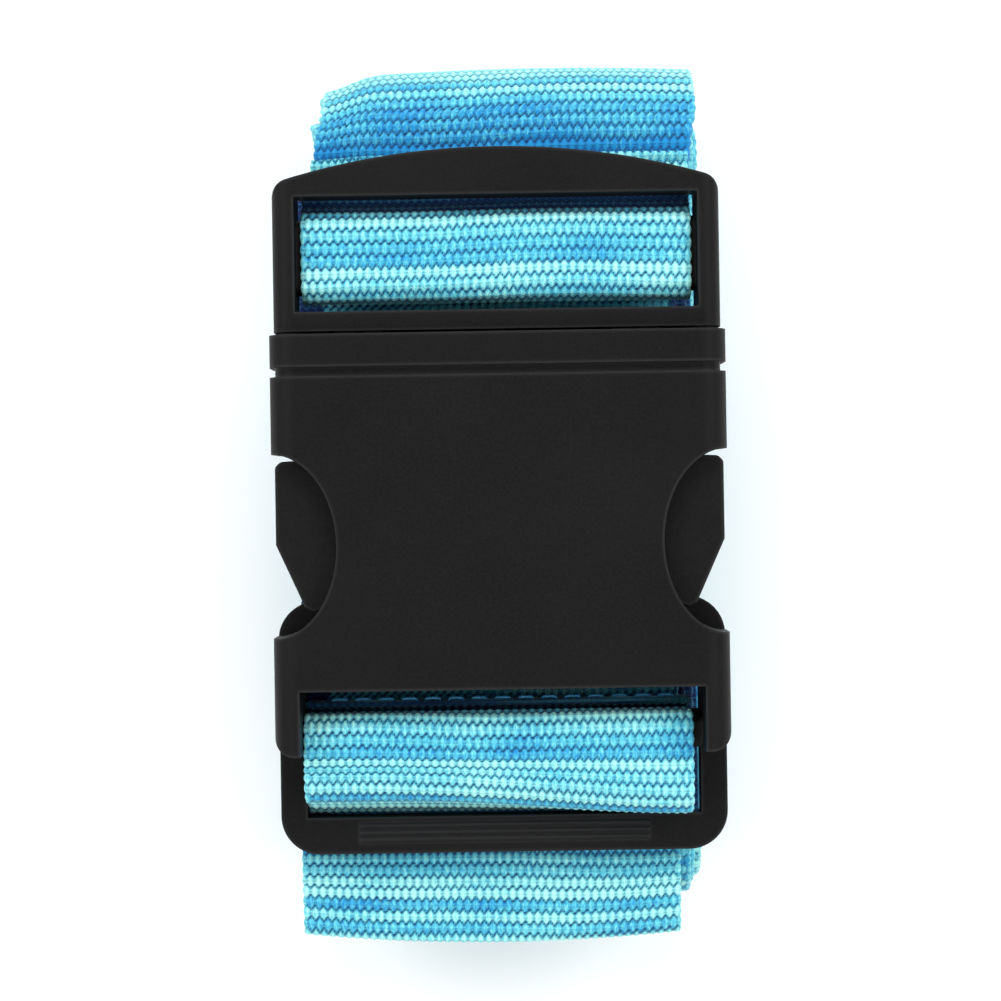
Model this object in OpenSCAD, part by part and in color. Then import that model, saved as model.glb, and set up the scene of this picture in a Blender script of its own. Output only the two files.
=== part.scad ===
// Luggage strap: one length of 50 mm webbing, closed by a side-release buckle
// and wound flat into a bundle that lies on its back with the buckle on top.
// X runs across the webbing, Y along the buckle with the male half towards +Y,
// Z up. The origin is the middle of the bundle's underside.

/* [Webbing] */
// Width of the webbing
web_w = 50; // [48:0.5:50]
// Thickness of the webbing
web_t = 1.1; // [1.05:0.05:1.1]
// Distance from one wound layer to the next
layer_pitch = 1.15; // [1.15:0.01:1.18]
// Full turns of the doubled webbing in the bundle
turns = 4; // [4]

/* [Bundle] */
// Distance from the middle to the outermost point of the top bend
top_reach = 57.6; // [57:0.1:60]
// Distance from the middle to the end of the loose bottom fold
bottom_reach = 57.6; // [57:0.1:58.5]
// Distance from the middle to the outermost point of the bottom bend
bend_reach = 53.6; // [52.5:0.1:54]
// How fast the bottom fold droops, per millimetre
fold_droop = 0.008; // [0.004:0.001:0.01]

/* [Buckle] */
// Height of the buckle's middle plane above the bundle's underside
buckle_z = 30; // [30:0.1:30.5]
// Width of the male half
male_w = 56.6; // [56:0.1:57.4]
// Thickness of the male half
male_h = 7.6; // [7.4:0.1:7.8]
// Width of the female half
female_w = 57.6; // [57.4:0.1:58.4]
// Thickness of the female half
female_h = 11.6; // [11.4:0.1:12]
// Width of every webbing slot
slot_w = 50.8; // [50.6:0.1:51.4]

/* [Tri-glide] */
// Width of the tri-glide
glide_w = 57.6; // [57:0.1:58]
// Thickness of the tri-glide's frame
glide_h = 3.6; // [3.4:0.1:3.6]

/* [Hidden] */
$fn = 48;

web_blue = "deepskyblue";
plastic = [0.14, 0.14, 0.14];
half_t = web_t / 2;
half_pitch = layer_pitch / 2;
eps = 0.02;              // gap between two nodes that meet at a cut

// ---- winding: a doubled strand, each strand half a pitch from the middle line
inner_r = half_pitch + 0.9;      // middle line of the innermost doubled layer
end_u = 360 * turns;             // winding angle where the outer layer ends
function band_r(u) = inner_r + layer_pitch * u / 180;
coil_z = band_r(end_u - 180) + half_pitch + half_t;  // height of the bend centres
top_c = top_reach - band_r(end_u - 90) - half_pitch - half_t;
bottom_c = bend_reach - band_r(end_u - 270) - half_pitch - half_t;
outer_z = coil_z + band_r(end_u) + half_pitch;  // outermost strand at the front
bend_steps = 12;
cut_u = end_u - 145;     // where the coil hands over to the male run

// One point of a strand; side is +1 on the outer strand and -1 on the inner one
function bend_point(u, half_turn, side) =
    let (r = band_r(u) + side * half_pitch,
         c = half_turn % 2 == 0 ? -bottom_c : top_c)
    [c + r * cos(90 + u), coil_z + r * sin(90 + u)];
function bend(half_turn, side, u_end) =
    [for (i = [0 : bend_steps])
        bend_point(180 * half_turn + (u_end - 180 * half_turn) * i / bend_steps,
                   half_turn, side)];
function reversed(list) = [for (i = [len(list) - 1 : -1 : 0]) list[i]];
function joined(lists) = [for (list = lists) for (p = list) p];
function arc(centre, r, from, to, steps) =
    [for (i = [0 : steps])
        centre + r * [cos(from + (to - from) * i / steps),
                      sin(from + (to - from) * i / steps)]];

// The doubled end that droops over the bottom bend, at y, side +1 or -1
droop_start = 42;
function droop_angle(y) = atan(2 * fold_droop * max(0, -y - droop_start));
function fold_middle(y) =
    [y, coil_z + band_r(end_u) - fold_droop * pow(max(0, -y - droop_start), 2)];
function fold_point(y, side) =
    fold_middle(y) + side * half_pitch * [-sin(droop_angle(y)), cos(droop_angle(y))];
fold_y = -(bottom_reach - half_pitch - half_t);
fold_ys = [for (y = [-droop_start : -2 : fold_y + 1]) y];
inner_fold_y = top_c - 4;    // the middle of the strap, folded inside the bundle
glide_cut_y = -42.6;         // where the coil hands over to the adjuster run

coil_path = joined([
    reversed(bend(2 * turns - 1, 1, cut_u)),
    joined([for (h = [2 * turns - 2 : -1 : 0]) reversed(bend(h, 1, 180 * (h + 1)))]),
    arc([inner_fold_y, coil_z + inner_r], half_pitch, 90, -90, 8),
    joined([for (h = [0 : 2 * turns - 1]) bend(h, -1, 180 * (h + 1))]),
    [for (y = fold_ys) fold_point(y, -1)],
    arc(fold_middle(fold_y), half_pitch,
        270 + droop_angle(fold_y), 90 + droop_angle(fold_y), 8),
    reversed([for (y = fold_ys) if (y < glide_cut_y) fold_point(y, 1)]),
    [fold_point(glide_cut_y, 1)]
]);

// ---- bars that the webbing goes round, as [y, z] middles and half sizes
wrap_gap = 0.1;
male_bar = [31.8, buckle_z - 0.7];
male_bar_half = [4.8, 1.6];
end_bar = [-29.2, buckle_z - 0.8];
end_bar_half = [2.0, 1.5];
glide_bar_half = [1.9, 1.2];
bar_to_web = wrap_gap + half_t;
glide_z = outer_z + half_t + 0.15;                 // underside of the tri-glide
end_wrap_r = end_bar_half[1] + bar_to_web;
glide_wrap_r = glide_bar_half[1] + bar_to_web;
glide_bar = [-28.5, end_bar[1] - end_wrap_r - glide_wrap_r];
male_wrap_r = male_bar_half[1] + bar_to_web;

// ---- male side: up over the top bend, round the inner bar, sewn to itself
low_leg_z = male_bar[1] - male_wrap_r;
high_leg_z = low_leg_z + layer_pitch + 0.05;
bend_y = top_c + band_r(end_u - 90) + half_pitch;
rise_r = 10.3;
dip_r = 2.3;             // radius of the dip between the inner bar and the end bar
bar_end_y = male_bar[0] + male_bar_half[0] - male_bar_half[1];
dip_angle = asin((high_leg_z + dip_r - male_bar[1]) / (male_wrap_r + dip_r));
dip_y = bar_end_y + (male_wrap_r + dip_r) * cos(dip_angle);
sewn_end_y = 45;
cut_arc_u = cut_u + 0.6;     // a hair past the coil's cut, so the two never touch
male_path = joined([
    [for (i = [0 : 6]) bend_point(cut_arc_u + (end_u - 90 - cut_arc_u) * i / 6,
                                  2 * turns - 1, 1)],
    arc([bend_y - rise_r, low_leg_z - rise_r], rise_r, 0, 90, 10),
    arc([male_bar[0] - male_bar_half[0] + male_bar_half[1], male_bar[1]],
        male_wrap_r, 270, 90, 12),
    arc([bar_end_y, male_bar[1]], male_wrap_r, 90, dip_angle, 7),
    [for (p = arc([dip_y, high_leg_z + dip_r], dip_r, 180 + dip_angle, 270, 7))
        if (p[1] < male_bar[1] + male_wrap_r * sin(dip_angle) - 0.05) p],
    [[sewn_end_y, high_leg_z]]
]);

// ---- adjuster side: under the lower bar, over the end bar, round the middle bar
slot_edge_y = -40.0;         // upper edge of the tri-glide's lower bar
climb_y = slot_edge_y + bar_to_web;
climb_r = 0.9;
brow_r = 3.4;                // how tightly the webbing turns over into the slot
over_z = end_bar[1] + end_wrap_r;
end_bar_y = end_bar[0] + end_bar_half[0] - end_bar_half[1];
glide_bar_y = glide_bar[0] - glide_bar_half[0] + glide_bar_half[1];
tail_y = end_bar_y + end_wrap_r + layer_pitch + 0.02;
tail_r = 1.2;
tail_top_z = buckle_z - 2.8;
under_z = glide_bar[1] - glide_wrap_r;
adjuster_path = joined([
    [fold_point(glide_cut_y + eps, 1)],
    arc([climb_y - climb_r, outer_z + climb_r], climb_r, -90, 0, 6),
    arc([climb_y + brow_r, over_z - brow_r], brow_r, 180, 90, 8),
    arc([end_bar_y, end_bar[1]], end_wrap_r, 90, -90, 12),
    arc([glide_bar_y, glide_bar[1]], glide_wrap_r, 90, 270, 12),
    arc([tail_y - tail_r, under_z + tail_r], tail_r, -90, 0, 6),
    [[tail_y, tail_top_z]]
]);

// A strip of webbing that follows a path in the Y-Z plane
function normal_at(path, i) =
    let (a = path[max(0, i - 1)],
         b = path[min(len(path) - 1, i + 1)],
         d = (b - a) / norm(b - a))
    [-d[1], d[0]];
function offset_path(path, by) =
    [for (i = [0 : len(path) - 1]) path[i] + by * normal_at(path, i)];
module along_x(length) {
    rotate([90, 0, 90]) linear_extrude(height = length, center = true) children();
}
module webbing_strip(path) {
    color(web_blue) along_x(web_w)
        polygon(concat(offset_path(path, half_t), reversed(offset_path(path, -half_t))));
}
module webbing_coil() { webbing_strip(coil_path); }
module webbing_male_run() { webbing_strip(male_path); }
module webbing_adjuster_run() { webbing_strip(adjuster_path); }

// ---- stitching: rows of separate thread dashes that lie on the webbing
thread_r = 0.18;
thread_gap = 0.05;
stitch_pitch = 3;
stitch_len = 2.2;
stitches = 15;
male_rows = [40.4, 43.2];
adjuster_rows = [tail_top_z - 1.6, tail_top_z - 0.7];
module stitch_row() {
    color(web_blue)
    for (i = [0 : stitches - 1])
        translate([(i - (stitches - 1) / 2) * stitch_pitch, 0, 0])
            rotate([0, 90, 0]) cylinder(r = thread_r, h = stitch_len, center = true, $fn = 16);
}
module stitching_male_loop() {
    for (y = male_rows)
        translate([0, y, high_leg_z + half_t + thread_gap + thread_r]) stitch_row();
}
module stitching_adjuster_loop() {
    for (z = adjuster_rows)
        translate([0, tail_y + half_t + thread_gap + thread_r, z]) stitch_row();
}

// ---- buckle, seen from above
mouth_y = 21.8;              // open end of the female half
male_foot_y = 22.2;          // face of the male half that meets it
male_slot = [24.7, 39.2];    // the opening that the webbing fills
arch_top_y = 45.2;
arch_r = 95;
end_bar_under = high_leg_z + half_t + 0.6;
cavity_half = [26.6, 3.6];   // half width and half height of the female's socket
cavity_end_y = -14.5;
knuckle = [17.5, 20.0];      // flex root of the right arm
knuckle_r = 2.0;
arm_h = 6.4;
window_half = [8.3, 11.6];   // the oval cut that shows each arm
window_y = -4.8;
female_slot_y = [-27.2, -23.0];
female_end_y = -31.2;
relief_z = glide_z + glide_h + 0.7;   // underside over the tri-glide

module rounded_box(w, h, r, from_y, to_y) {
    translate([0, from_y, 0]) rotate([-90, 0, 0]) linear_extrude(to_y - from_y)
        rounded_square(w, h, r);
}
module rounded_square(w, h, r) {
    square([w - 2 * r, h], center = true);
    square([w, h - 2 * r], center = true);
    for (x = [-1, 1])
        for (y = [-1, 1])
            translate([x * (w / 2 - r), y * (h / 2 - r)]) circle(r = r);
}
// A bar that runs across the webbing, rounded where the webbing wraps it
module cross_bar(middle, half, length) {
    translate([0, middle[0], middle[1]]) along_x(length) {
        square([2 * (half[0] - half[1]), 2 * half[1]], center = true);
        for (side = [-1, 1])
            translate([side * (half[0] - half[1]), 0]) circle(r = half[1]);
    }
}

// ---- male half: frame, inner bar and guide tongue
blade_half = [10.8, 1.1];
blade_tip_y = -6;
blade_r = 4;
spine_half = [1.2, 2.6];
spine_y = -4;
corner_r = 2.4;              // in plan
edge_r = 2.4;                // in cross-section
knuckle_clear = 0.08;        // all round, so that the arm can turn
seat_half_w = 3;             // half width of the block that holds each knuckle
seat_y = 20.6;
side_y = arch_top_y - arch_r
    + sqrt(pow(arch_r - corner_r, 2) - pow(male_w / 2 - corner_r, 2));
corner_angle = acos((male_w / 2 - corner_r) / (arch_r - corner_r));
// Straight sides, round corners and one shallow arch over the top
module male_outline() {
    right_corner = arc([male_w / 2 - corner_r, side_y], corner_r, 0, corner_angle, 6);
    arch = arc([0, arch_top_y - arch_r], arch_r, corner_angle, 180 - corner_angle, 30);
    left_corner = arc([corner_r - male_w / 2, side_y], corner_r,
                      180 - corner_angle, 180, 6);
    polygon(concat([[male_w / 2, male_foot_y]], right_corner,
                   [for (i = [1 : len(arch) - 2]) arch[i]], left_corner,
                   [[-male_w / 2, male_foot_y]]));
}
module male_shell() {
    intersection() {
        linear_extrude(2 * buckle_z) difference() {
            male_outline();
            translate([-slot_w / 2, male_slot[0]])
                square([slot_w, male_slot[1] - male_slot[0]]);
        }
        translate([0, 0, buckle_z])
            rounded_box(male_w, male_h, edge_r, male_foot_y - 1, arch_top_y + 1);
    }
}
module webbing_way_out() {
    translate([-slot_w / 2, male_slot[1] - 1, 0])
        cube([slot_w, arch_top_y - male_slot[1] + 2, end_bar_under]);
}
module tongue() {
    translate([0, 0, buckle_z - blade_half[1]]) linear_extrude(2 * blade_half[1]) {
        translate([-blade_half[0], blade_tip_y + blade_r])
            square([2 * blade_half[0], male_foot_y - blade_tip_y - blade_r + 1]);
        translate([-blade_half[0] + blade_r, blade_tip_y])
            square([2 * (blade_half[0] - blade_r), blade_r + 1]);
        for (side = [-1, 1])
            translate([side * (blade_half[0] - blade_r), blade_tip_y + blade_r])
                circle(r = blade_r);
    }
    translate([-spine_half[0], spine_y, buckle_z - spine_half[1]])
        cube([2 * spine_half[0], male_foot_y - spine_y + 1, 2 * spine_half[1]]);
}
module knuckle_bores() {
    for (side = [-1, 1])
        translate([side * knuckle[0], knuckle[1], 0])
            cylinder(r = knuckle_r + knuckle_clear, h = 2 * buckle_z);
}
module knuckle_seats() {
    difference() {
        for (side = [-1, 1])
            translate([side * knuckle[0] - seat_half_w, seat_y, buckle_z - arm_h / 2])
                cube([2 * seat_half_w, male_foot_y + 0.6 - seat_y, arm_h]);
        knuckle_bores();
    }
}
module male_frame() {
    color(plastic) {
        difference() {
            male_shell();
            webbing_way_out();
            knuckle_bores();
        }
        cross_bar(male_bar, male_bar_half, slot_w + 2);
        tongue();
        knuckle_seats();
    }
}

// ---- release arm: a springy neck and a catch head that fills the side window
arm_outline = [[18.7, 21.1], [22.6, 14.6], [24.6, 10.4], [25.4, 7.6], [25.4, 6.0],
               [27.6, 5.9], [28.3, 5.2], [28.3, -4.6], [24.7, -12.6], [23.6, -13.2],
               [22.2, -12.6], [20.2, -8.6], [19.6, -1], [20.6, 5.0], [20.9, 9.0],
               [19.4, 13.2], [16.1, 19.3]];
module release_arm() {
    color(plastic) translate([0, 0, buckle_z - arm_h / 2]) {
        linear_extrude(arm_h) polygon(arm_outline);
        translate(knuckle) cylinder(r = knuckle_r, h = arm_h);
    }
}
module release_arm_right() { release_arm(); }
module release_arm_left() { mirror([1, 0, 0]) release_arm(); }

// ---- female half: socket, side windows and end bar
guide_x = 12.4;
guide_t = 1.2;
groove_y = 17.1;
groove_w = 1.2;
groove_depth = 0.7;
cheek_r = 2.6;
shoulder_r = 3.4;            // long edges, in cross-section
relief_y = [-7, -10.8];      // where the underside begins and ends its climb
guide_y = [-9, 14];
guide_root = 0.5;            // how far each guide rib goes into the floor and roof
function oval(half) = [for (a = [0 : 6 : 354]) [half[0] * cos(a), half[1] * sin(a)]];
module female_outline() {
    difference() {
        translate([0, (mouth_y + female_end_y) / 2])
            rounded_square(female_w, mouth_y - female_end_y, cheek_r);
        for (side = [-1, 1])
            translate([side * female_w / 2, window_y]) polygon(oval(window_half));
        translate([-slot_w / 2, female_end_y - 1])
            square([slot_w, female_slot_y[1] - female_end_y + 1]);
    }
    translate([-female_w / 2, mouth_y - cheek_r]) square([female_w, cheek_r]);
}
module female_block() {
    intersection() {
        linear_extrude(2 * buckle_z) female_outline();
        translate([0, 0, buckle_z])
            rounded_box(female_w, female_h, shoulder_r, female_end_y - 1, mouth_y + 1);
    }
}
module socket() {
    translate([-cavity_half[0], cavity_end_y, buckle_z - cavity_half[1]])
        cube([2 * cavity_half[0], mouth_y - cavity_end_y + 1, 2 * cavity_half[1]]);
}
// Thins the end over the tri-glide, from below
module end_relief() {
    low = buckle_z - female_h / 2;
    beyond_y = female_end_y - 2;
    along_x(female_w + 2)
        polygon([[relief_y[0], low - 1], [relief_y[0], low], [relief_y[1], relief_z],
                 [beyond_y, relief_z], [beyond_y, low - 1]]);
}
module groove() {
    difference() {
        translate([0, 0, buckle_z]) rounded_box(female_w + 2, female_h + 2, shoulder_r,
            groove_y - groove_w / 2, groove_y + groove_w / 2);
        translate([0, 0, buckle_z])
            rounded_box(female_w - 2 * groove_depth, female_h - 2 * groove_depth,
                        shoulder_r - groove_depth, groove_y - groove_w, groove_y + groove_w);
    }
}
module female_body() {
    color(plastic) {
        difference() {
            female_block();
            socket();
            end_relief();
            groove();
        }
        for (side = [-1, 1])
            translate([side * (guide_x + guide_t / 2) - guide_t / 2, guide_y[0],
                       buckle_z - cavity_half[1] - guide_root])
                cube([guide_t, guide_y[1] - guide_y[0],
                      2 * (cavity_half[1] + guide_root)]);
        cross_bar(end_bar, end_bar_half, slot_w + 2);
    }
}

// ---- tri-glide: a flat frame with a raised middle bar and a ribbed lower bar
glide_y = [-44.7, -12.0];
glide_slot_y = [slot_edge_y, -16.6];
glide_corner = 5;
rib_len = 37.5;
rib_r = 0.35;
rib_ys = [-41.1, -42.0, -42.9];
module tri_glide() {
    color(plastic) {
        translate([0, 0, glide_z]) linear_extrude(glide_h) difference() {
            translate([0, (glide_y[0] + glide_y[1]) / 2])
                rounded_square(glide_w, glide_y[1] - glide_y[0], glide_corner);
            translate([-slot_w / 2, glide_slot_y[0]])
                square([slot_w, glide_slot_y[1] - glide_slot_y[0]]);
        }
        cross_bar(glide_bar, glide_bar_half, slot_w + 2);
        for (y = rib_ys)
            translate([0, y, glide_z + glide_h]) rotate([0, 90, 0])
                cylinder(r = rib_r, h = rib_len, center = true, $fn = 24);
    }
}

webbing_coil();
webbing_male_run();
webbing_adjuster_run();
stitching_male_loop();
stitching_adjuster_loop();
male_frame();
release_arm_left();
release_arm_right();
female_body();
tri_glide();
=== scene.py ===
"""Luggage strap: wound ribbed webbing, a side-release buckle and a tri-glide, dressed around the CAD frame.

Lengths in the route and weave sections are in millimetres, as in the CAD source; meshes are made in metres.
The webbing is one strap. It is modelled as a ribbon that follows one route from its sewn end at the male half
to its sewn end at the tri-glide, and it is cut into pieces only where something bends or slides.
"""

import math

import bpy
import numpy as np
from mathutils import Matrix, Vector


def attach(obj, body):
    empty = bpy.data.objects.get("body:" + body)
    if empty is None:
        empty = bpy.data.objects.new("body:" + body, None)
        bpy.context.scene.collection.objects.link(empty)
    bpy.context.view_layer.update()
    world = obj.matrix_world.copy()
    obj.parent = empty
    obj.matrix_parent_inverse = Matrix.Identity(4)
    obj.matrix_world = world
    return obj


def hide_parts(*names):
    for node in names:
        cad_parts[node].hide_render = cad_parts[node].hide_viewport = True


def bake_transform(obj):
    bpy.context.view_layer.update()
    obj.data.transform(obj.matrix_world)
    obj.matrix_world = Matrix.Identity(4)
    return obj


MM = 0.001

# ---- webbing and winding, as in the CAD source
WEB_W = 50.0
WEB_T = 1.1
PITCH = 1.15  # from one wound layer to the next
TURNS = 4
TOP_REACH = 57.6
BOTTOM_REACH = 57.6
BEND_REACH = 53.6
FOLD_DROOP = 0.008
DROOP_START = 42.0
BUCKLE_Z = 30.0
HALF_T = WEB_T / 2
HALF_PITCH = PITCH / 2
INNER_R = HALF_PITCH + 0.9  # middle line of the innermost doubled layer
CORE_INSET = 4.0  # from the top bend's centre to the strap's middle, folded inside the bundle
END_U = 360 * TURNS
CUT_U = END_U - 145  # where the coil hands over to the male run
GLIDE_CUT_Y = -42.6  # where the coil hands over to the adjuster run

# ---- bars that the webbing goes round: middle (y, z) and half sizes
MALE_BAR = (31.8, BUCKLE_Z - 0.7)
MALE_BAR_HALF = (4.8, 1.6)
END_BAR = (-29.2, BUCKLE_Z - 0.8)
END_BAR_HALF = (2.0, 1.5)
GLIDE_BAR_HALF = (1.9, 1.2)
GLIDE_BAR_Y = -28.5
SLOT_EDGE_Y = -40.0
BAR_TO_WEB = 0.1 + HALF_T
SEWN_END_Y = 45.0
MALE_LAP = PITCH + 0.05  # from the male loop's lower layer to its sewn end
TAIL_LAP = PITCH + 0.02  # from the webbing on the end bar to the tail beside it
TAIL_TOP_Z = BUCKLE_Z - 2.8

# ---- weave
ROW = 1.6  # pitch of the crosswise ribs
BEAD = 1.08  # pitch of the beads along a rib
CLOSE = (5, 6)  # mesh steps a rib and a bead on the stretches seen from close by
PLAIN = (4, 4)
RELIEF = 0.32  # depth of the gaps between ribs
PLAIN_RELIEF = 0.16  # the same on hidden faces, which have ribs but no beads
ZIGZAG = 0.15  # how far beads reach over the middle of a gap, as a share of a rib
FIRST_RIB = 40  # keeps rib numbers above 0
WANDER = ((0.3, 11.0, 19.0, 0.0), (0.1, 4.6, -11.0, 1.3))  # height, wave lengths over x and s, phase
RIB_SHARE = 0.45  # how much of a rib's height is there between its beads
FLAT_HALF_W = 24.2  # where the rounded selvage begins
SELVAGE_R = 0.42
SELVAGE_BULGE = 0.2  # how far a rib pushes the selvage out
THIN_SHARE = 0.25  # thickness lost where the webbing squeezes under the lower bar
ARC_STEP = 0.2
BEND_POINTS = 73
COARSE_POINTS = 7  # across a face that is modelled without beads


def band_r(u):
    """Middle line of the doubled layer at winding angle u, in degrees."""
    return INNER_R + PITCH * u / 180


COIL_Z = band_r(END_U - 180) + HALF_PITCH + HALF_T
TOP_C = TOP_REACH - band_r(END_U - 90) - HALF_PITCH - HALF_T
BOTTOM_C = BEND_REACH - band_r(END_U - 270) - HALF_PITCH - HALF_T
OUTER_Z = COIL_Z + band_r(END_U) + HALF_PITCH


def polar(centre, r, degrees):
    a = np.radians(degrees)
    return np.stack([centre[0] + r * np.cos(a), centre[1] + r * np.sin(a)], -1)


def arc(centre, r, start, end):
    steps = max(6, round(abs(math.radians(end - start)) * r / ARC_STEP))
    return polar(centre, r, np.linspace(start, end, steps + 1))


def bend(half_turn, side, end_u=None):
    """One half turn of a strand; side is +1 on the outer strand and -1 on the inner one."""
    u = np.linspace(180 * half_turn, end_u or 180 * (half_turn + 1), BEND_POINTS)
    centre = (-BOTTOM_C if half_turn % 2 == 0 else TOP_C, COIL_Z)
    return polar(centre, band_r(u) + side * HALF_PITCH, 90 + u)


def droop_angle(y):
    return math.degrees(math.atan(2 * FOLD_DROOP * max(0.0, -y - DROOP_START)))


def fold_point(y, side):
    """The doubled end that droops over the bottom bend, side +1 for its upper strand, 0 for the middle."""
    a = math.radians(droop_angle(y))
    middle_z = COIL_Z + band_r(END_U) - FOLD_DROOP * max(0.0, -y - DROOP_START) ** 2
    return np.array([y - side * HALF_PITCH * math.sin(a), middle_z + side * HALF_PITCH * math.cos(a)])


def male_section():
    """From the sewn end, round the inner bar, under the end bar and over the top bend to the coil."""
    wrap_r = MALE_BAR_HALF[1] + BAR_TO_WEB
    low_z = MALE_BAR[1] - wrap_r
    high_z = low_z + MALE_LAP
    bend_y = TOP_C + band_r(END_U - 90) + HALF_PITCH
    rise_r = 10.3
    dip_r = 2.3
    far_y = MALE_BAR[0] + MALE_BAR_HALF[0] - MALE_BAR_HALF[1]
    near_y = MALE_BAR[0] - MALE_BAR_HALF[0] + MALE_BAR_HALF[1]
    dip = math.degrees(math.asin((high_z + dip_r - MALE_BAR[1]) / (wrap_r + dip_r)))
    dip_y = far_y + (wrap_r + dip_r) * math.cos(math.radians(dip))
    u = np.linspace(END_U - 90, CUT_U, 40)
    return [
        [(SEWN_END_Y, high_z)],
        arc((dip_y, high_z + dip_r), dip_r, 270, 180 + dip),
        arc((far_y, MALE_BAR[1]), wrap_r, dip, 90),
        arc((near_y, MALE_BAR[1]), wrap_r, 90, 270),
        arc((bend_y - rise_r, low_z - rise_r), rise_r, 90, 0),
        polar((TOP_C, COIL_Z), band_r(u) + HALF_PITCH, 90 + u),
    ]


def fold_sections():
    """The front strand down to the drooping fold, and the fold back up to the tri-glide."""
    fold_y = -(BOTTOM_REACH - HALF_PITCH - HALF_T)
    ys = np.arange(-DROOP_START, fold_y + 0.5, -1.0)
    tilt = droop_angle(fold_y)
    down = [fold_point(y, -1) for y in ys]
    hairpin = arc(fold_point(fold_y, 0), HALF_PITCH, 270 + tilt, 90 + tilt)
    up = [fold_point(y, 1) for y in ys[::-1] if y < GLIDE_CUT_Y] + [fold_point(GLIDE_CUT_Y, 1)]
    return down, hairpin, up


def adjuster_sections():
    """Under the lower bar and over the end bar; then round the tri-glide's middle bar to the sewn end."""
    climb_y = SLOT_EDGE_Y + BAR_TO_WEB
    climb_r = 0.9
    brow_r = 3.4
    end_wrap_r = END_BAR_HALF[1] + BAR_TO_WEB
    glide_wrap_r = GLIDE_BAR_HALF[1] + BAR_TO_WEB
    glide_bar_z = END_BAR[1] - end_wrap_r - glide_wrap_r
    end_bar_y = END_BAR[0] + END_BAR_HALF[0] - END_BAR_HALF[1]
    glide_y = GLIDE_BAR_Y - GLIDE_BAR_HALF[0] + GLIDE_BAR_HALF[1]
    tail_y = end_bar_y + end_wrap_r + TAIL_LAP
    tail_r = 1.2
    over_z = END_BAR[1] + end_wrap_r
    upper = [
        arc((climb_y - climb_r, OUTER_Z + climb_r), climb_r, -90, 0),
        arc((climb_y + brow_r, over_z - brow_r), brow_r, 180, 90),
        arc((end_bar_y, END_BAR[1]), end_wrap_r, 90, 0),
    ]
    loop = [
        arc((end_bar_y, END_BAR[1]), end_wrap_r, 0, -90),
        arc((glide_y, glide_bar_z), glide_wrap_r, 90, 270),
        arc((tail_y - tail_r, glide_bar_z - glide_wrap_r + tail_r), tail_r, -90, 0),
        [(tail_y, TAIL_TOP_Z)],
    ]
    return upper, loop


class Route:
    """The strap's middle line by arc length, with the length at which each named stretch begins."""

    STEP = 0.1
    SMOOTH = 9  # samples averaged, which rounds the corners between arcs

    def __init__(self, stretches):
        points, names, firsts = [], [], []
        for name, sections in stretches:
            names.append(name)
            firsts.append(sum(len(p) for p in points))
            points.extend(np.asarray(p, float).reshape(-1, 2) for p in sections)
        line = np.concatenate(points)
        gaps = np.linalg.norm(np.diff(line, axis=0), axis=1)
        length = np.concatenate([[0], np.cumsum(gaps)])
        self.begins = {n: length[i] for n, i in zip(names, firsts)}
        self.total = length[-1]
        self.s = np.linspace(0, self.total, round(self.total / self.STEP) + 1)
        kept = np.concatenate([[True], gaps > 1e-6])
        even = np.stack([np.interp(self.s, length[kept], line[kept, i]) for i in (0, 1)], -1)
        pad = self.SMOOTH // 2
        padded = np.concatenate([2 * even[0] - even[pad:0:-1], even, 2 * even[-1] - even[-2 : -pad - 2 : -1]])
        kernel = np.ones(self.SMOOTH) / self.SMOOTH
        self.line = np.stack([np.convolve(padded[:, i], kernel, "valid") for i in (0, 1)], -1)
        slope = np.gradient(self.line, axis=0)
        slope /= np.linalg.norm(slope, axis=1)[:, None]
        self.normal = np.stack([-slope[:, 1], slope[:, 0]], -1)

    def at(self, s):
        """Points (y, z) and normals at arc lengths s."""
        mid = np.stack([np.interp(s, self.s, self.line[:, i]) for i in (0, 1)], -1)
        out = np.stack([np.interp(s, self.s, self.normal[:, i]) for i in (0, 1)], -1)
        return mid, out / np.linalg.norm(out, axis=1)[:, None]


def strap_route():
    down, hairpin, up = fold_sections()
    upper, loop = adjuster_sections()
    last = 2 * TURNS - 1
    inward = [bend(h, 1)[::-1] for h in range(last - 2, -1, -1)]
    centre = arc((TOP_C - CORE_INSET, COIL_Z), HALF_PITCH, 90, -90)
    centre[:, 1] += band_r(0)
    outward = [bend(h, -1) for h in range(last + 1)]
    male = male_section()
    return Route(
        [
            ("male_loop", male[:4]),
            ("top_band", [[(41.5, male[3][-1][1])], *male[4:]]),
            ("outer_turn", [bend(last, 1, CUT_U)[::-1], bend(last - 1, 1)[::-1]]),
            ("core", [*inward, centre, *outward]),
            ("front", [outward[-1][-1:], down[:1]]),
            ("fold", [down, hairpin, up]),
            ("adjuster", upper),
            ("loop", loop),
        ]
    )


# ---- slow unevenness: how the ribs wander, how far the layers shift sideways and how the bundle has settled; and painted shade and light along the strap
RNG = np.random.default_rng(11)
TONES = RNG.beta(2.0, 2.2, 4000)  # one tone a rib, from deep blue to pale blue
SWAY = ((0.8, 52.0, 0.0), (0.4, 23.0, 1.0))  # height, length and phase of each wave of the wound layers
TOP_SHIFT = 0.5  # towards +X, on the band above the buckle
COIL_SHIFT = 0.3
FRONT_SHIFT = -1.2
FOLD_SHIFT = -0.6  # on top of the front layer's
OVER_SHIFT = -0.6
TOP_CROWN = (0.25, 0.35, -0.75)  # outwards at the top bend: even, tilted and at the edges
LOW_CROWN = (-0.1, 1.3)  # upwards at the bottom fold: even and at the edges
CORNER_IN = 1.7  # how far the top bend's corner at -X lies back
CORNER_PINCH = 1.2  # how far the upper layers draw in there
TOP_LEAN = 0.8  # towards +X, on the layers round the top bend
UNDER_LEAN = 0.5  # the same on the layers under the front one
SLACK = 1.9  # how far the webbing at -X rides up over the end bar
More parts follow.
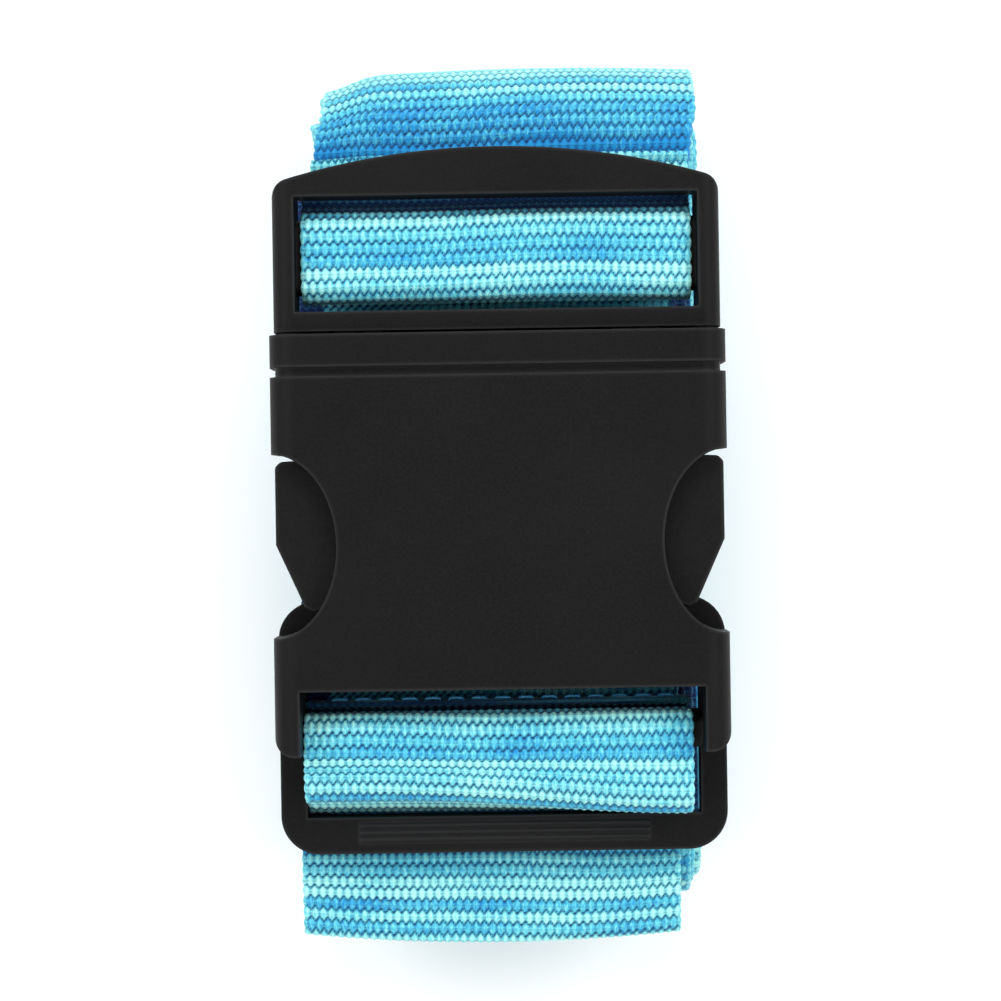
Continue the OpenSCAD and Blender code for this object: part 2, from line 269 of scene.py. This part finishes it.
DIM_SLOT, DIM_FAR, DIM_TUCK, DIM_EDGE = 0.82, 0.65, 0.35, 0.9  # light lost, as a share
BAND_CALM = 0.7  # how much less the tones differ on the band above the buckle; scaling them down there is painted shade
DARKER_BAND, DARKER_TUCK, DARKER_EDGE, PALER_BEND = 0.4, 0.2, 0.4, 0.25  # changes of tone that are painted shade (band, tuck, edge) and painted light (bend)


def smooth_step(low, high, value):
    t = np.clip((value - low) / (high - low), 0, 1)
    return t * t * (3 - 2 * t)


def window(value, rise, fall):
    """1 between the rise and the fall, each a (start, end) pair, and 0 outside them."""
    return smooth_step(*rise, value) * (1 - smooth_step(*fall, value))


def rib_phase(x, s):
    """Which rib a point lies on: its whole part is the rib's number, and ribs wander a little."""
    wander = sum(high * np.sin(x / across + s / along + phase) for high, across, along, phase in WANDER)
    return (s + wander + FIRST_RIB * ROW) / ROW


def weave(x, s):
    """Height, 0 in a gap to 1 on a bead; ridge, the same for a rib; the rib's tone; (bead, rib) numbers."""
    phase = rib_phase(x, s)
    phase = phase + ZIGZAG * np.cos(np.pi * phase) * np.cos(2 * np.pi * x / BEAD)
    rib = np.floor(phase)
    ridge = (0.5 - 0.5 * np.cos(2 * np.pi * phase)) ** 0.5
    across = x / BEAD + 0.5 * (rib % 2)
    bead = (0.5 + 0.5 * np.cos(2 * np.pi * across)) ** 0.6
    cell = np.stack([across, phase, np.zeros_like(phase)], -1)
    height = ridge * (RIB_SHARE + (1 - RIB_SHARE) * bead)
    return height, ridge, TONES[rib.astype(int) % len(TONES)], cell


def sideways(s, route):
    """How far the strap lies to the side at arc length s, in millimetres."""
    band, turn, front, fold, over = (
        route.begins[name] for name in ("top_band", "outer_turn", "front", "fold", "adjuster")
    )
    into_coil = (turn + 5, turn + 60)
    off_fold = (over - 4, over + 3)
    sway = sum(high * np.sin(s / length + phase) for high, length, phase in SWAY)
    return (
        TOP_SHIFT * window(s, (band - 1, band + 8), into_coil)
        + (COIL_SHIFT + sway) * window(s, into_coil, (front - 30, front + 10))
        + FRONT_SHIFT * window(s, (front, front + 7), off_fold)
        + FOLD_SHIFT * window(s, (front + 30, fold), off_fold)
        + OVER_SHIFT * smooth_step(*off_fold, s)
    )


def shading(s, route):
    """How lit the strap is at arc length s, 1 in the open, as painted shade; and painted shade and painted
    light in its colour: a share and a shift of its tone.
    """
    band, over, loop = (route.begins[name] for name in ("top_band", "adjuster", "loop"))
    slot = window(s, (2.0, 4.5), (7.5, 10.5))  # painted shade beyond the male half's inner bar
    far = smooth_step(loop - 1.5, loop + 1, s)  # painted shade beyond the end bar
    tuck = window(s, (over - 9, over - 3), (over, over + 3))  # painted shade under the lower bar
    # painted shade on the band above the buckle near the male half, and painted light over the top bend
    calm = window(s, (band, band + 2), (band + 8.5, band + 13))
    deep = window(s, (band, band + 1), (band + 4.5, band + 9))
    pale = window(s, (band + 11, band + 15), (band + 22, band + 40))
    lit = 1 - DIM_SLOT * slot - DIM_FAR * far - DIM_TUCK * tuck
    shift = PALER_BEND * pale - DARKER_TUCK * tuck - DARKER_BAND * deep
    return lit, 1 - BAND_CALM * calm, shift


def settle(x, y, z):
    """Moves points as the soft bundle has settled: crowned bends, a slack corner and leaning upper layers."""
    edge = x / (WEB_W / 2)
    even, tilted, at_edges = TOP_CROWN
    crown_top = even + at_edges * edge**2 + tilted * edge - CORNER_IN * smooth_step(-15, -25, x)
    even, at_edges = LOW_CROWN
    crown_low = at_edges * edge**2 + even
    slack = SLACK * (1 - smooth_step(-12, 24, x)) * smooth_step(-31, -37, y) * smooth_step(22.6, 27.5, z)
    near_bend = smooth_step(40, 46, y)
    below_bar = 1 - smooth_step(26.2, 27.2, z)
    below_front = 1 - smooth_step(OUTER_Z - 2.0, OUTER_Z - 1.4, z)
    lean = TOP_LEAN * near_bend * below_bar
    lean = lean + CORNER_PINCH * smooth_step(-16, -25, x) * smooth_step(40, 44, y) * smooth_step(12, 17, z)
    lean = lean + UNDER_LEAN * smooth_step(16, 24, y) * (1 - near_bend) * below_front
    return x + lean, y + crown_top * smooth_step(40, 57, y) + crown_low * smooth_step(-43, -57, y) + slack, z


def under_buckle(x, y, z, flat):
    """Painted shade: 1 under the buckle, near the edges of layers' faces and on the outer layers' selvages;
    else 0.
    """
    near = smooth_step(22.0, 23.4, np.abs(x)) * window(y, (-46, -43), (42, 45))
    deep = np.maximum(smooth_step(OUTER_Z - 5.5, OUTER_Z - 2.5, z), flat * smooth_step(3, 6, z))
    return near * deep * (1 - smooth_step(OUTER_Z + 0.8, OUTER_Z + 1.4, z))


def ring(fine, bead_steps):
    """The strip's cross-section: x, height as a share, and +1 on face A, -1 on face B, 0 on a selvage."""
    close = np.linspace(-FLAT_HALF_W, FLAT_HALF_W, round(2 * FLAT_HALF_W / BEAD * bead_steps) + 1)
    coarse = np.linspace(-FLAT_HALF_W, FLAT_HALF_W, COARSE_POINTS)
    turn = np.radians([60, 20, -20, -60])
    edge = np.zeros(len(turn))
    a = close if fine == "a" else coarse
    b = (close if fine == "b" else coarse)[::-1]
    x = [a, FLAT_HALF_W + SELVAGE_R * np.cos(turn), b, -FLAT_HALF_W - SELVAGE_R * np.cos(turn)]
    high = [np.ones(len(a)), np.sin(turn), -np.ones(len(b)), -np.sin(turn)]
    face = [np.ones(len(a)), edge, -np.ones(len(b)), edge]
    return [np.concatenate(part) for part in (x, high, face)]


def mesh_object(name, points, faces, material):
    mesh = bpy.data.meshes.new(name)
    mesh.from_pydata(points.tolist(), [], faces)
    mesh.validate()
    mesh.shade_smooth()
    mesh.materials.append(material)
    obj = bpy.data.objects.new(name, mesh)
    bpy.context.scene.collection.objects.link(obj)
    return obj


def add_attribute(obj, name, kind, values):
    attribute = obj.data.attributes.new(name, kind, "POINT")
    field = "vector" if kind == "FLOAT_VECTOR" else "value"
    attribute.data.foreach_set(field, values.astype(np.float32).ravel())


def webbing(name, route, span, material, fine="", steps=PLAIN, thin_start=0.0):
    """A closed strip of webbing along the route, with the beads of its weave on the face named by fine."""
    start, end = span
    s = np.linspace(start, end, max(2, round((end - start) / ROW * steps[0])) + 1)
    middle, normal = route.at(s)
    x, high, face = ring(fine, steps[1])
    flat = np.abs(face)[None, :]
    xx, ss = np.meshgrid(x, s)
    height, ridge, tone, cell = weave(xx, ss)
    gap = RELIEF * (1 - height) if fine else PLAIN_RELIEF * (1 - ridge)
    selvage = SELVAGE_R * (0.8 + 0.35 * ridge)
    lift = high[None, :] * (flat * (HALF_T - gap * flat) + (1 - flat) * selvage)
    if thin_start:
        lift *= (1 - THIN_SHARE * (1 - smooth_step(start, start + thin_start, s)))[:, None]
    xx = xx + np.sign(xx) * (1 - flat) * SELVAGE_BULGE * ridge + sideways(s, route)[:, None]
    y = middle[:, :1] + normal[:, :1] * lift
    z = middle[:, 1:] + normal[:, 1:] * lift
    points = np.stack(settle(xx, y, z), -1).reshape(-1, 3) * MM
    rows, cols = xx.shape
    index = np.arange(rows * cols).reshape(rows, cols)
    nxt = np.roll(index, -1, axis=1)
    quads = np.stack([index[:-1], index[1:], nxt[1:], nxt[:-1]], -1).reshape(-1, 4)
    faces = quads.tolist() + [index[0].tolist(), index[-1][::-1].tolist()]
    obj = mesh_object(name, points, faces, material)
    # painted shade under the buckle, taken off the weave and tone attributes
    painted_buckle_shade = under_buckle(xx, y, z, flat)
    lit, dye_and_shading, shift = (part[:, None] for part in shading(s, route))
    height = height * flat + (1 - flat) * (0.4 + 0.6 * ridge)
    tone = tone * flat + (1 - flat) * (0.28 + 0.35 * tone)
    add_attribute(obj, "web", "FLOAT_VECTOR", np.stack([xx, ss, np.broadcast_to(face, xx.shape)], -1))
    # painted shade and painted light: weave holds the weave's height and tone the rib's own tone, both
    # changed along the strap
    add_attribute(obj, "weave", "FLOAT", height * lit * (1 - DIM_EDGE * painted_buckle_shade))
    add_attribute(obj, "tone", "FLOAT", tone * dye_and_shading + shift - DARKER_EDGE * painted_buckle_shade)
    add_attribute(obj, "cell", "FLOAT_VECTOR", cell)
    return obj


# ---- materials
DEEP_BLUE = (0.008, 0.27, 0.61)
SKY_BLUE = (0.12, 0.61, 0.72)
PALE_BLUE = (0.43, 0.92, 0.84)
GAP_BLUE = (0.0, 0.03, 0.12)  # painted shade: multiplies the colour at the bottom of the gaps
SLOPE_BLUE = (0.4, 0.65, 0.78)  # and painted shade on the sides of the beads
NOTCH_BLUE = (0.02, 0.2, 0.4)
THREAD_DARK = (0.02, 0.3, 0.72)
THREAD_LIGHT = (0.1, 0.55, 0.9)
PLASTIC_DARK = (0.0035, 0.0035, 0.0037)
PLASTIC_LIGHT = (0.007, 0.007, 0.0074)
PLASTIC_WEAR_AND_HIGHLIGHT = (0.035, 0.035, 0.036)
WEAR_AND_HIGHLIGHT_WIDTH = 0.7


class Nodes:
    """A material's node tree with short calls to add and link nodes."""

    def __init__(self, name):
        self.material = bpy.data.materials.new(name)
        self.material.use_nodes = True
        self.tree = self.material.node_tree
        self.shader = self.tree.nodes["Principled BSDF"]

    def set(self, socket, value):
        if isinstance(value, bpy.types.NodeSocket):
            self.tree.links.new(value, socket)
        elif isinstance(value, tuple) and len(socket.default_value) == 4:
            socket.default_value = (*value, 1)
        else:
            socket.default_value = value

    def add(self, kind, inputs=(), **settings):
        node = self.tree.nodes.new(kind)
        for key, value in settings.items():
            setattr(node, key, value)
        for key, value in dict(inputs).items():
            self.set(node.inputs[key], value)
        return node

    def attribute(self, name, output):
        return self.add("ShaderNodeAttribute", attribute_name=name).outputs[output]

    def place(self):
        return self.add("ShaderNodeTexCoord").outputs["Object"]

    def mapping(self, vector, **inputs):
        return self.add("ShaderNodeMapping", {"Vector": vector, **inputs}).outputs[0]

    def noise(self, vector, scale, detail):
        node = self.add("ShaderNodeTexNoise", {"Vector": vector, "Scale": scale, "Detail": detail})
        return node.outputs["Fac"]

    def bump(self, height, strength, distance):
        node = self.add("ShaderNodeBump", {"Height": height, "Strength": strength, "Distance": distance})
        return node.outputs[0]

    def math(self, operation, a, b=0.0, clamp=False):
        node = self.add("ShaderNodeMath", {0: a, 1: b}, operation=operation)
        node.use_clamp = clamp
        return node.outputs[0]

    def ramp(self, factor, stops):
        node = self.add("ShaderNodeValToRGB", {"Fac": factor})
        elements = node.color_ramp.elements
        while len(elements) < len(stops):
            elements.new(0.5)
        for element, (position, colour) in zip(elements, stops):
            element.position = position
            element.color = (*colour, 1)
        return node.outputs["Color"]

    def mix(self, factor, a, b, blend="MIX"):
        node = self.add("ShaderNodeMix", data_type="RGBA", blend_type=blend)
        for slot, value in ((0, factor), (6, a), (7, b)):  # the sockets of a colour mix
            self.set(node.inputs[slot], value)
        return node.outputs[2]

    def shade(self, **inputs):
        for key, value in inputs.items():
            self.set(self.shader.inputs[key.replace("_", " ")], value)


def webbing_material():
    """Dyed ribs with painted shade in the gaps, a notch between beads with painted shade, and fine fibres and
    twist as bump.
    """
    n = Nodes("webbing_ribbed_blue")
    web = n.attribute("web", "Vector")
    # the tone attribute holds each rib's own tone with painted shade and painted light along the strap
    tone = n.attribute("tone", "Fac")
    patch = n.noise(web, 0.09, 2.0)
    yarn = n.noise(n.mapping(web, Scale=(3.4, 1.3, 1.0)), 1.0, 3.0)
    dye_and_shading = n.math("ADD", n.math("MULTIPLY", tone, 0.55), n.math("MULTIPLY", patch, 0.5))
    dye_and_shading = n.math("ADD", dye_and_shading, n.math("MULTIPLY", n.math("SUBTRACT", yarn, 0.5), 0.9), clamp=True)
    colour = n.ramp(dye_and_shading, [(0.15, DEEP_BLUE), (0.42, SKY_BLUE), (0.72, PALE_BLUE)])
    # painted shade in the gaps, on the sides of the beads and where the weave attribute is lowered
    pit = n.ramp(n.attribute("weave", "Fac"), [(0.12, GAP_BLUE), (0.42, SLOPE_BLUE), (0.8, (1, 1, 1))])
    colour = n.mix(1.0, colour, pit, "MULTIPLY")

    cell = n.add("ShaderNodeSeparateXYZ", {"Vector": n.attribute("cell", "Vector")}).outputs
    crest = n.math("COSINE", n.math("MULTIPLY", cell["Y"], math.tau))
    crest = n.math("POWER", n.math("ABSOLUTE", crest), 8.0)
    between = n.math("COSINE", n.math("MULTIPLY", cell["X"], math.tau))
    between = n.math("SUBTRACT", 0.5, n.math("MULTIPLY", between, 0.5))
    notch = n.math("MULTIPLY", crest, n.math("ADD", n.math("MULTIPLY", between, 0.8), 0.2))
    # painted shade in the notch between beads
    colour = n.mix(n.math("MULTIPLY", notch, 0.55), colour, NOTCH_BLUE)

    fibre = n.noise(n.mapping(web, Scale=(9.0, 2.4, 1.0)), 1.0, 4.0)
    turned = n.mapping(web, Rotation=(0, 0, math.radians(62)))
    wave = {"Vector": turned, "Scale": 1.15, "Distortion": 1.2, "Detail": 2.0, "Detail Scale": 2.0}
    twist = n.add("ShaderNodeTexWave", wave).outputs["Fac"]
    relief = n.math("ADD", n.math("MULTIPLY", twist, 0.35), fibre)
    relief = n.math("SUBTRACT", relief, notch)
    rough = n.math("ADD", n.math("MULTIPLY", yarn, 0.25), 0.6)
    n.shade(Base_Color=colour, Roughness=rough, Normal=n.bump(relief, 0.8, 0.00012))
    n.shade(Sheen_Weight=0.12, Sheen_Roughness=0.4, Specular_IOR_Level=0.25)
    return n.material


def thread_material():
    n = Nodes("thread_blue")
    fibre = n.noise(n.place(), 5000.0, 3.0)
    rough = n.math("ADD", n.math("MULTIPLY", fibre, 0.3), 0.35)
    n.shade(Base_Color=n.ramp(fibre, [(0.3, THREAD_DARK), (0.7, THREAD_LIGHT)]), Roughness=rough)
    n.shade(Normal=n.bump(fibre, 0.4, 0.00004), Sheen_Weight=0.2)
    return n.material


def plastic_material():
    """Moulded black plastic with a fine grain, cloudy gloss, and edges painted a little paler, for wear and
    as a painted highlight.
    """
    n = Nodes("buckle_plastic_black")
    place = n.place()
    grain = n.noise(place, 2600.0, 2.0)
    cloud = n.noise(place, 70.0, 3.0)
    rounded = n.add("ShaderNodeBevel", {"Radius": WEAR_AND_HIGHLIGHT_WIDTH * MM}, samples=4).outputs[0]
    facing = n.add("ShaderNodeNewGeometry").outputs["Normal"]
    edge = n.add("ShaderNodeVectorMath", {0: rounded, 1: facing}, operation="DOT_PRODUCT").outputs["Value"]
    # paler edges: wear and a painted highlight
    wear_and_highlight = n.math("MULTIPLY", n.math("SUBTRACT", 1.0, edge), 8.0, clamp=True)
    speckle = n.math("ADD", n.math("MULTIPLY", grain, 0.6), n.math("MULTIPLY", cloud, 0.4))
    colour = n.ramp(speckle, [(0.3, PLASTIC_DARK), (0.7, PLASTIC_LIGHT)])
    colour = n.mix(n.math("MULTIPLY", wear_and_highlight, 0.6), colour, PLASTIC_WEAR_AND_HIGHLIGHT)
    rough = n.math("ADD", n.math("MULTIPLY", cloud, 0.16), n.math("MULTIPLY", grain, 0.2))
    rough = n.math("ADD", rough, 0.34)
    n.shade(Base_Color=colour, Roughness=rough, Normal=n.bump(grain, 0.35, 0.00005))
    n.shade(Specular_IOR_Level=0.11)
    return n.material


# ---- mouldings, with each node's edge rounding
EDGE_R = {
    "male_frame": 0.45,
    "release_arm_left": 0.4,
    "release_arm_right": 0.4,
    "female_body": 0.45,
    "tri_glide": 0.5,
}
WELD_REACH = 0.004
FLAT_WITHIN = math.radians(0.5)
SHARP_FROM = math.radians(32)


def mould(obj, material, edge_r):
    """Rounds a CAD moulding's edges with modifiers and gives it the plastic."""
    weld = obj.modifiers.new("weld", "WELD")
    weld.merge_threshold = WELD_REACH * MM
    flat = obj.modifiers.new("flat_faces", "DECIMATE")
    flat.decimate_type = "DISSOLVE"
    flat.angle_limit = FLAT_WITHIN
    soft = obj.modifiers.new("soft_edges", "BEVEL")
    soft.width = edge_r * MM
    soft.segments = 3
    soft.limit_method = "ANGLE"
    soft.angle_limit = SHARP_FROM
    soft.harden_normals = False
    even = obj.modifiers.new("even_normals", "WEIGHTED_NORMAL")
    even.weight = 100
    obj.data.materials.clear()
    obj.data.materials.append(material)
    obj.data.shade_smooth()


# ---- stitching
STITCHES = 15
STITCH_PITCH = 3.0
STITCH_LEN = 2.2
STITCH_DIP = 0.45  # how deep a stitch's ends go into the cloth
STITCH_LIFT = 0.1  # how far its middle stands off the cloth's face
PLY_R = 0.1
PLY_OFFSET = 0.075  # from the stitch's middle line to each ply's
PLY_TURNS = 2.5
PLY_STEPS = (18, 7)  # along and around


def stitch(middle, lift):
    """One stitch of two twisted plies along X, its ends dipping into the cloth: (points, faces)."""
    points, faces = [], []
    along, around = PLY_STEPS
    across = np.cross(lift, (1, 0, 0))
    for ply in (0, 1):
        first = len(points)
        for i in range(along):
            t = i / (along - 1)
            twist = math.tau * PLY_TURNS * t + math.pi * ply
            dip = STITCH_DIP * (2 * t - 1) ** 6
            centre = np.array(middle) + np.array([(t - 0.5) * STITCH_LEN, 0, 0]) - dip * lift
            centre = centre + PLY_OFFSET * (math.cos(twist) * across + math.sin(twist) * lift)
            for k in range(around):
                a = math.tau * k / around
                points.append(centre + PLY_R * (math.cos(a) * across + math.sin(a) * lift))
        for i in range(along - 1):
            for k in range(around):
                a, b = first + i * around + k, first + i * around + (k + 1) % around
                faces.append([a, b, b + around, a + around])
        faces.append([first + k for k in range(around)][::-1])
        faces.append([first + (along - 1) * around + k for k in range(around)])
    return points, faces


def stitching(name, rows, lift, material):
    points, faces = [], []
    for row in rows:
        for i in range(STITCHES):
            x = (i - (STITCHES - 1) / 2) * STITCH_PITCH
            more, quads = stitch((x, *row), np.array(lift, float))
            faces += [[v + len(points) for v in face] for face in quads]
            points += more
    return mesh_object(name, np.array(points) * MM, faces, material)


# ---- stage, in metres
CAMERA_AT = (0.0001, 0.0006, 0.331)  # straight above, looking down
CAMERA_ROLL = math.radians(-0.9)
LENS = 85.0
SENSOR = 36.0
SKY_LIGHT = 0.55
LAMPS = 6
LAMP_REACH = 0.55
LAMP_HEIGHT = 0.5
LAMP_AIM = (0, 0, 0.02)
LAMP_SIZE = 0.4
LAMP_POWER = 1.5
LAMP_UNEVEN = 0.5  # lamps towards +Y are stronger by this share
FLOOR_HALF = 3.0
FLOOR_GAP = 0.0004


def camera():
    data = bpy.data.cameras.new("camera")
    data.lens = LENS
    data.sensor_width = SENSOR
    obj = bpy.data.objects.new("camera", data)
    obj.location = CAMERA_AT
    obj.rotation_euler = (0, 0, CAMERA_ROLL)
    bpy.context.scene.collection.objects.link(obj)
    bpy.context.scene.camera = obj


def lamp(name, place, power):
    data = bpy.data.lights.new(name, "AREA")
    data.shape = "DISK"
    data.size = LAMP_SIZE
    data.energy = power
    obj = bpy.data.objects.new(name, data)
    obj.location = place
    obj.rotation_euler = (Vector(LAMP_AIM) - Vector(place)).to_track_quat("-Z", "Y").to_euler()
    bpy.context.scene.collection.objects.link(obj)


def lights():
    scene = bpy.context.scene
    scene.view_settings.view_transform = "Standard"
    scene.world = bpy.data.worlds.new("studio")
    scene.world.use_nodes = True
    sky = scene.world.node_tree.nodes["Background"].inputs
    sky["Color"].default_value = (1, 1, 1, 1)
    sky["Strength"].default_value = SKY_LIGHT
    for i in range(LAMPS):
        turn = math.tau * (i + 0.5) / LAMPS
        place = (LAMP_REACH * math.cos(turn), LAMP_REACH * math.sin(turn), LAMP_HEIGHT)
        lamp(f"lamp_{i}", place, LAMP_POWER * (1 + LAMP_UNEVEN * math.sin(turn)))


def ground():
    n = Nodes("floor_pale")
    cloud = n.noise(n.place(), 8.0, 2.0)
    n.shade(Base_Color=n.ramp(cloud, [(0.3, (0.9, 0.9, 0.9)), (0.7, (0.93, 0.93, 0.93))]))
    n.shade(Roughness=0.9, Specular_IOR_Level=0.1)
    corners = np.array([(-1, -1, 0), (1, -1, 0), (1, 1, 0), (-1, 1, 0)]) * FLOOR_HALF
    floor = mesh_object("floor", corners, [[0, 1, 2, 3]], n.material)
    floor.location.z = -FLOOR_GAP


def dress_webbing(route, material):
    begins = route.begins
    ends = dict(zip(begins, [*list(begins.values())[1:], route.total]))

    def strip(name, stretch, stands_for, rests_on=(), **detail):
        span = (begins[stretch], ends[stretch])
        obj = webbing(name, route, span, material, **detail)
        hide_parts(stands_for)
        return obj

    run = "webbing_male_run"
    loop = strip("webbing_male_loop", "male_loop", run, ["male_frame"], fine="b", steps=CLOSE)
    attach(loop, "male_half")
    band = strip("webbing_top_band", "top_band", run, fine="a", steps=CLOSE)
    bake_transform(band)

    for name, stretch, detail in (
        ("webbing_outer_turn", "outer_turn", {"fine": "a"}),
        ("webbing_inner_turns", "core", {}),
        ("webbing_front_layer", "front", {"fine": "b"}),
        ("webbing_bottom_fold", "fold", {"fine": "a", "steps": CLOSE}),
    ):
        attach(strip(name, stretch, "webbing_coil", **detail), "wound_strap")

    run = "webbing_adjuster_run"
    over = strip(
        "webbing_over_end_bar", "adjuster", run, ["female_body"], fine="a", steps=CLOSE, thin_start=3.0
    )
    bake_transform(over)
    tail = strip("webbing_adjuster_loop", "loop", run, ["tri_glide"], fine="a")
    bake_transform(tail)


def dress_stitching(material):
    lap_z = MALE_BAR[1] - MALE_BAR_HALF[1] - BAR_TO_WEB + MALE_LAP + HALF_T + STITCH_LIFT
    lap_rows = [(SEWN_END_Y - 4.6, lap_z), (SEWN_END_Y - 1.8, lap_z)]
    tail_y = END_BAR[0] + END_BAR_HALF[0] + BAR_TO_WEB + TAIL_LAP + HALF_T + STITCH_LIFT
    tail_rows = [(tail_y, TAIL_TOP_Z - 1.6), (tail_y, TAIL_TOP_Z - 0.7)]
    for name, rows, lift, body, node in (
        ("thread_male_loop", lap_rows, (0, 0, 1), "male_half", "stitching_male_loop"),
        ("thread_adjuster_loop", tail_rows, (0, 1, 0), "wound_strap", "stitching_adjuster_loop"),
    ):
        obj = stitching(name, rows, lift, material)
        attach(obj, body)
        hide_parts(node)


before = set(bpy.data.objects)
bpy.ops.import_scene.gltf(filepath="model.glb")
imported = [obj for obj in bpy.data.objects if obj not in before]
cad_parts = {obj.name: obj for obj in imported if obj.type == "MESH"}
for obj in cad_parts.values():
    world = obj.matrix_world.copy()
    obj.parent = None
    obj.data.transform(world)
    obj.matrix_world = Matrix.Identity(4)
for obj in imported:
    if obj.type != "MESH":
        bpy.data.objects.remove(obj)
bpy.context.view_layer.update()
camera()
lights()
ground()
dress_webbing(strap_route(), webbing_material())
dress_stitching(thread_material())
plastic = plastic_material()
for node, edge_r in EDGE_R.items():
    mould(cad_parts[node], plastic, edge_r)
